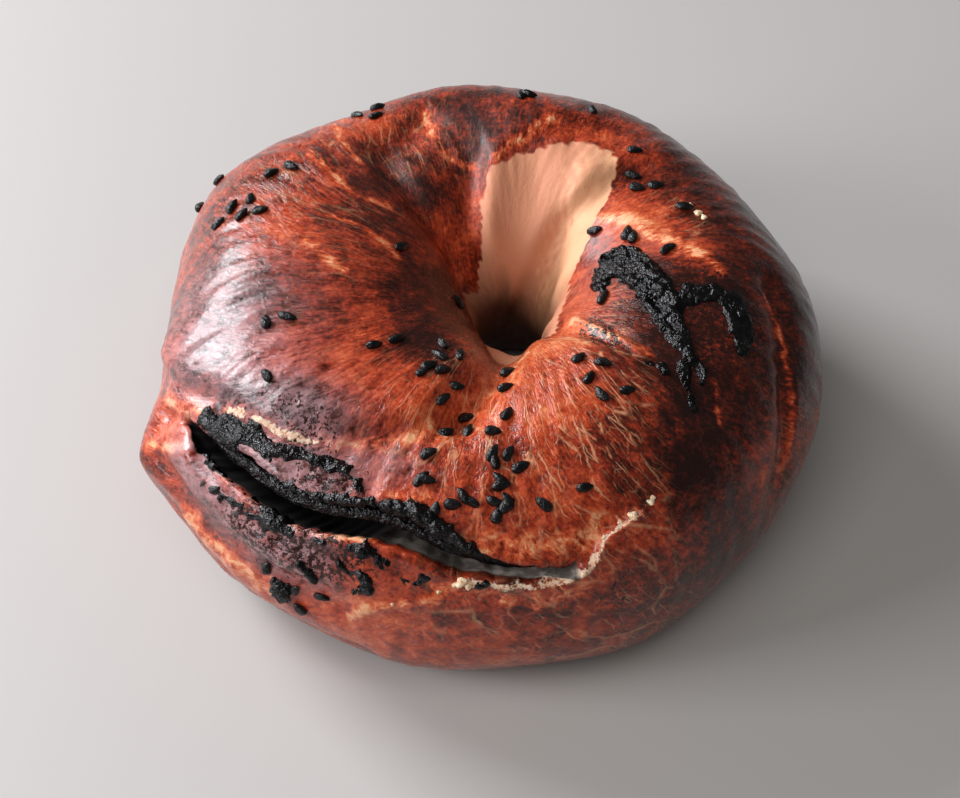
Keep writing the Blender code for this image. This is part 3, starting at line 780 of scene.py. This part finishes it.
def smear_shell(ring, roll, points, smears, seed, lining=0.0):
    """Closed loops of a crumbly coat over a grid of points: its top, then back underneath, pinched at the ends.

    Where it covers, the top stands up by its thickness times domes, and elsewhere it lies sunk in the dough.
    """
    u = ring * (MID_RADIUS + ROLL_RADIUS * math.cos(roll.mean()))
    v = np.cumsum(np.linalg.norm(np.diff(points, axis=1, prepend=points[:, :1]), axis=-1), axis=1)
    ragged = 1.3 * (cloudy(u, v, 1.7, seed) - 0.5) + 0.8 * (cloudy(u, v, 0.7, seed + 3) - 0.5)
    height = np.full(roll.shape, -PASTE_SUNK) + lining * (0.35 + 0.65 * crumbly(u, v, 1.1, seed + 5))
    for path, thick in smears:
        path = np.array(path, float)
        inside = ragged - beside(path[:, :2], ring, roll, path[:, 2])[0]
        domes = 0.20 + 1.0 * crumbly(u, v, 1.35, seed + 7) * (0.25 + cloudy(u, v, 1.6, seed + 9))
        coat = thick * domes * smooth_step(-0.05, 0.55, inside) - PASTE_SUNK * smooth_step(0.1, -0.25, inside)
        height = np.maximum(height, coat)
    along, over = np.gradient(points, axis=0), np.gradient(points, axis=1)
    out = np.cross(along, over)
    out = out / np.linalg.norm(out, axis=-1, keepdims=True)
    low = -np.full(roll.shape, PASTE_BASE)
    low[[0, -1]] = height[[0, -1]] = -PASTE_SUNK
    top, under = points + out * height[..., None], points + out * low[..., None]
    return np.concatenate([top, under[:, ::-1]], axis=1)


def paste_sheet():
    """Loops of the sheet inside the roll: a slab on edge, crumbly on its sides, that points at the core."""
    ring = np.linspace(PASTE_PATH[0][0], PASTE_PATH[-1][0], PASTE_LOOPS) * DEG
    path_ring, path_roll = np.array(PASTE_PATH, float).T
    roll = np.interp(ring / DEG, path_ring, path_roll) * DEG
    top = -np.interp(ring / DEG, *np.array(PASTE_COVER, float).T)
    spine = skin(ring, roll)
    out = spine - across_tube(ring, 0.5, WIDEST_AT * around(HEIGHT, ring))
    out = out / np.linalg.norm(out, axis=-1, keepdims=True)
    along = np.gradient(spine, axis=0)
    along = along - out * (along * out).sum(-1, keepdims=True)
    aside = np.cross(out, along / np.linalg.norm(along, axis=-1, keepdims=True))
    down = np.concatenate([np.linspace(0, 1, PASTE_ROWS), np.linspace(1, 0, PASTE_ROWS)])[None, :]
    side = np.repeat([1.0, -1.0], PASTE_ROWS)[None, :]
    depth = top[:, None] + (-PASTE_REACH - top[:, None]) * down
    rough = 0.45 + 0.55 * crumbly(ring[:, None] * 40 + 9 * side, depth, 1.2, 31)
    pinch = np.ones(PASTE_LOOPS)
    pinch[[0, -1]] = 0
    half = side * PASTE_HALF * rough * pinch[:, None]
    return spine[:, None] + aside[:, None] * half[..., None] + out[:, None] * depth[..., None]


def joined_shells(name, shells):
    """One mesh from many grids of loops in mm, each closed round and pinched shut at its first and last loop."""
    verts, faces, count = [], [], 0
    for shell in shells:
        loops, sides = shell.shape[:2]
        i, j = (grid.ravel() for grid in np.meshgrid(np.arange(loops - 1), np.arange(sides), indexing="ij"))
        j_next = (j + 1) % sides
        face = np.stack([i * sides + j, (i + 1) * sides + j, (i + 1) * sides + j_next, i * sides + j_next], -1)
        verts.append(shell.reshape(-1, 3) * MM)
        faces.append(face + count)
        count += loops * sides
    mesh = bpy.data.meshes.new(name)
    mesh.from_pydata(np.concatenate(verts).tolist(), [], np.concatenate(faces).tolist())
    shaped = bmesh.new()
    shaped.from_mesh(mesh)
    bmesh.ops.remove_doubles(shaped, verts=shaped.verts, dist=1e-7)
    bmesh.ops.recalc_face_normals(shaped, faces=shaped.faces)
    shaped.to_mesh(mesh)
    shaped.free()
    mesh.shade_smooth()
    return mesh


def lip_shell(first, last, across, smears, seed, lining=0.0):
    """A smear beside the split from one ring angle to another, over its crust and, where lined, its wall."""
    ring = np.arange(first, last, SMEAR_CELL / LIP_DISTANCE / DEG)[:, None] * DEG
    roll, points = torn_place(ring, across[None, :])
    ring = ring + np.zeros_like(roll)
    lined = smooth_step(216, 252, ring / DEG) * smooth_step(276, 268, ring / DEG) * (np.abs(across) < SPLIT_LIP)
    return smear_shell(ring, roll, points, smears, seed, lining * lined)


def shoulder_shell():
    """The bursts on the right shoulder, over a patch of the crust."""
    ring = np.arange(307, 372, SMEAR_CELL / SHOULDER_DISTANCE / DEG)[:, None] * DEG
    roll = np.arange(59, 134, SMEAR_CELL / ROLL_RADIUS / DEG)[None, :] * DEG
    ring, roll = ring + 0 * roll, roll + 0 * ring
    return smear_shell(ring, roll, crust_place(ring, roll), BURSTS, 61)


over_crust = np.arange(SPLIT_LIP, SMEARS_END, SMEAR_CELL / MM_PER_ACROSS)
upper_side = np.concatenate([np.arange(0.02, SPLIT_LIP, 0.016), over_crust])
lower_side = -np.concatenate([(SPLIT_LIP - 0.04,), over_crust])[::-1]
mesh = joined_shells("minced_olive_paste", (
    paste_sheet(),
    lip_shell(205, 290, upper_side, UPPER_SMEARS, 41, LINING),
    lip_shell(210, 274, lower_side, LOWER_SMEARS, 51),
    shoulder_shell(),
))

OLIVE_BLACK = (0.0015, 0.0012, 0.0015)
OLIVE_GREY = (0.007, 0.006, 0.0065)

paste = Finish("minced_olives", {"Specular IOR Level": 0.32})
place = paste.add("TexCoord", output="Object")
bits = paste.noise(place, 800, 3, 0.6)
wet = paste.noise(place, 420, 3, 0.6).between(0.66, 0.44)
colour = paste.blend(OLIVE_BLACK, OLIVE_GREY, bits.between(0.45, 0.70))
paste.feed({"Base Color": colour, "Roughness": 0.32 - wet * 0.21, "Normal": paste.bump(bits, 0.0012, 0.9)})
place_piece("minced_olive_paste", mesh, paste, "olive_paste")


# ---------------------------------------------------------------------------------------------------------------
# The nigella seeds: small black seeds, a blunt drop with flat sides, strewn on the wet egg wash and baked fast.

SEED_SIZE = (3.0, 1.75, 1.35)
SEED_LIFT = 0.22
SEED_APART = 3.0
SEED_DRAW = 7
SEED_TRIES = 40
SEEDS = (
    # ring angle, roll angle, spread of each, number
    (118, 60, 5, 6, 3), (150, 72, 3, 3, 2), (165, 62, 4, 12, 5), (174, 119, 0, 0, 1), (204, 79, 2, 4, 2),
    (216, 68, 0, 0, 1), (227, 100, 2, 5, 2), (201, 149, 0, 0, 1), (246, 105, 5, 8, 6), (255, 95, 5, 4, 3),
    (270, 114, 0, 0, 1), (269, 91, 3, 9, 3), (259, 82, 3, 3, 2), (256, 68, 2, 5, 3), (271, 70, 4, 6, 5),
    (268, 59, 5, 4, 6), (279, 55, 0, 0, 1), (287, 58, 0, 0, 1), (264, 54, 8, 2, 4), (299, 95, 6, 11, 5),
    (31, 123, 0, 0, 1), (16, 112, 3, 4, 2), (3, 98, 0, 0, 1), (334, 121, 0, 0, 1), (38, 92, 5, 5, 3),
    (21, 86, 0, 0, 1), (48, 83, 0, 0, 1), (66, 68, 0, 0, 1), (83, 68, 3, 4, 3), (236, 6, 10, 12, 5),
    (60, 25, 10, 14, 2), (105, 20, 12, 12, 2), (150, 22, 10, 12, 2),
)
SEED_LOOPS = 11
SEED_SIDES = 12


def seed_places():
    """Ring and roll angles for every seed, drawn round each group's middle and kept apart, and its heading."""
    draw = random.Random(SEED_DRAW)
    places = []
    taken = np.empty((0, 3))
    for ring, roll, ring_spread, roll_spread, count in SEEDS:
        for _ in range(count):
            for _ in range(SEED_TRIES):
                place = (ring + draw.uniform(-1, 1) * ring_spread, roll + draw.uniform(-1, 1) * roll_spread)
                point = skin(np.array([place[0] * DEG]), np.array([place[1] * DEG]))
                if len(taken) == 0 or np.linalg.norm(taken - point, axis=1).min() > SEED_APART:
                    break
            taken = np.concatenate([taken, point])
            places.append((*place, draw.uniform(0, math.pi)))
    return np.array(places)


def seed_shells(middle, out, heading):
    """A drop for each seed: its loops widen as t^0.7 (1 - t)^0.45 and are flattened into soft facets."""
    draw = np.random.default_rng(5)
    count = len(middle)
    t = (0.5 - 0.5 * np.cos(np.linspace(0, math.pi, SEED_LOOPS)))[None, :, None]
    a = np.linspace(0, 2 * math.pi, SEED_SIDES, endpoint=False)[None, None, :]
    widen = t**0.7 * (1 - t) ** 0.45
    widen = widen / widen.max()
    turn = draw.uniform(0, 2 * math.pi, (count, 1, 1))
    facet = 1 / (1 + 0.16 * np.cos(2 * (a - turn)) ** 2 + 0.10 * np.cos(3 * a + 2 * turn))
    dents = 1 + 0.05 * np.sin(5 * a + 9 * t + 3 * turn)
    length, width, thick = (side * draw.uniform(0.88, 1.08, (count, 1, 1)) for side in SEED_SIZE)
    curl = draw.uniform(-0.25, 0.25, (count, 1, 1)) * np.sin(math.pi * t)
    x = (t - 0.5) * length + 0 * a
    y = 0.5 * width * (widen * facet * dents * np.cos(a) + curl)
    z = 0.5 * thick * widen * facet * dents * np.sin(a)
    side = np.cross(out, (0.3, 0.5, 0.8))
    side = side / np.linalg.norm(side, axis=-1, keepdims=True)
    along = side * np.cos(heading)[:, None] + np.cross(out, side) * np.sin(heading)[:, None]
    aside = np.cross(out, along)
    offset = sum(axis[:, None, None] * grid[..., None] for axis, grid in ((along, x), (aside, y), (out, z)))
    return middle[:, None, None] + offset


places = seed_places()
seed_ring, seed_roll = places[:, 0] * DEG, places[:, 1] * DEG
out = outward_from(seed_ring, seed_roll)
middle = crust_place(seed_ring, seed_roll) + out * SEED_LIFT * SEED_SIZE[2]
mesh = joined_shells("nigella_seeds", seed_shells(middle, out, places[:, 2]))

HUSK_BLACK = (0.003, 0.0028, 0.003)
HUSK_GREY = (0.012, 0.011, 0.011)

husk = Finish("nigella_husk", {"Specular IOR Level": 0.34})
place = husk.add("TexCoord", output="Object")
pits = husk.noise(place, 1500, 3, 0.6)
colour = husk.blend(HUSK_BLACK, HUSK_GREY, husk.noise(place, 500, 2).between(0.4, 0.7))
husk.feed({"Base Color": colour, "Roughness": 0.16 + pits * 0.26, "Normal": husk.bump(pits, 0.0005, 0.7)})
place_piece("nigella_seeds", mesh, husk, "dough_ring")


# ---------------------------------------------------------------------------------------------------------------
# Crumbs of torn dough, left on the lips of the split and on the crust where it was pulled.

CRUMBS = (
    # ring angle, roll angle, size in mm
    (265.5, 27.5, 1.9), (266.5, 26.4, 1.5), (264.6, 26.2, 1.2), (294.5, 43.0, 1.5), (298.6, 44.6, 1.3),
    (299.2, 46.0, 0.9), (292.3, 42.0, 0.8), (289.0, 38.4, 0.8), (18.0, 82.1, 1.3), (21.4, 83.2, 0.9),
    (15.7, 81.1, 1.1), (284.6, 27.6, 0.9), (262.0, 22.0, 0.7), (255.0, 14.0, 0.6),
)
CRUMB_LOOPS = 9
CRUMB_SIDES = 12
CRUMB_HEIGHT = 0.7


def crumb_shells():
    """A lumpy ball for each crumb, flattened in z: its radius is 1 plus sine waves of both angles."""
    draw = np.random.default_rng(8)
    ring, roll, size = np.array(CRUMBS).T
    t = np.linspace(0, math.pi, CRUMB_LOOPS)[None, :, None]
    a = np.linspace(0, 2 * math.pi, CRUMB_SIDES, endpoint=False)[None, None, :]
    one, two = draw.uniform(0, 2 * math.pi, (2, len(size), 1, 1))
    radius = 1 + (0.22 * np.sin(3 * a + one) + 0.18 * np.sin(2 * a + 4 * t + two)) * np.sin(t)
    x, y = np.sin(t) * np.cos(a) * radius, np.sin(t) * np.sin(a) * radius
    ball = np.stack([x, y, CRUMB_HEIGHT * np.cos(t) * radius], -1)
    return crust_place(ring * DEG, roll * DEG)[:, None, None] + ball * size[:, None, None, None] / 2


mesh = joined_shells("dough_crumbs", crumb_shells())

CRUMB_TAN = (0.62, 0.36, 0.17)
CRUMB_WHITE = (0.82, 0.68, 0.50)

crumb = Finish("torn_crumb", {"Roughness": 0.8, "Subsurface Weight": 0.2, "Subsurface Scale": 0.001})
pores = crumb.noise(crumb.add("TexCoord", output="Object"), 2600, 3, 0.65)
colour = crumb.blend(CRUMB_TAN, CRUMB_WHITE, pores.between(0.35, 0.6))
crumb.feed({"Base Color": colour, "Normal": crumb.bump(pores, 0.0004, 0.7)})
place_piece("dough_crumbs", mesh, crumb, "dough_ring")


# ---------------------------------------------------------------------------------------------------------------
# The floor, the light and the view. Daylight falls from two windows on the left, a wide soft light above fills
# the shade, and the camera looks down on the bread from in front.

bpy.ops.mesh.primitive_plane_add(size=3.0)
floor = bpy.context.object
floor.name = "pale_floor"
board = Finish("pale_floor", {"Roughness": 0.6, "Base Color": (0.40, 0.385, 0.37, 1.0)})
floor.data.materials.append(board.material)


def soft_light(name, place, aim, width, power, colour):
    """A square area light at place in metres, turned to face aim."""
    data = bpy.data.lights.new(name, "AREA")
    data.size, data.energy, data.color = width, power, colour
    lamp = bpy.data.objects.new(name, data)
    lamp.location = place
    lamp.rotation_euler = (Vector(aim) - Vector(place)).to_track_quat("-Z", "Y").to_euler()
    bpy.context.scene.collection.objects.link(lamp)
    return lamp


soft_light("window", (-0.62, 0.42, 0.42), (0, 0, 0.02), 0.36, 11.5, (0.94, 0.96, 1.0))
soft_light("side_window", (-0.60, -0.16, 0.34), (0, 0, 0.02), 0.26, 3.5, (0.96, 0.95, 1.0))
soft_light("room", (-0.12, -0.36, 0.72), (0, 0, 0.02), 0.6, 3.2, (1.0, 0.97, 0.94)).visible_glossy = False
world = bpy.data.worlds.new("studio")
world.use_nodes = True
world.node_tree.nodes["Background"].inputs["Color"].default_value = (1, 1, 1, 1)
world.node_tree.nodes["Background"].inputs["Strength"].default_value = 0.10
bpy.context.scene.world = world
bpy.context.scene.view_settings.view_transform = "Standard"

ELEVATION = 51.0
DISTANCE = 0.360
AIM = Vector((-0.0013, -0.0060, 0.017))
camera_data = bpy.data.cameras.new("view")
camera_data.lens = 81.0
camera_data.sensor_width = 36.0
camera_data.clip_start = 0.01
camera = bpy.data.objects.new("view", camera_data)
back = Vector((0, -math.cos(ELEVATION * DEG), math.sin(ELEVATION * DEG)))
camera.location = AIM + DISTANCE * back
camera.rotation_euler = (-back).to_track_quat("-Z", "Y").to_euler()
bpy.context.scene.collection.objects.link(camera)
bpy.context.scene.camera = camera
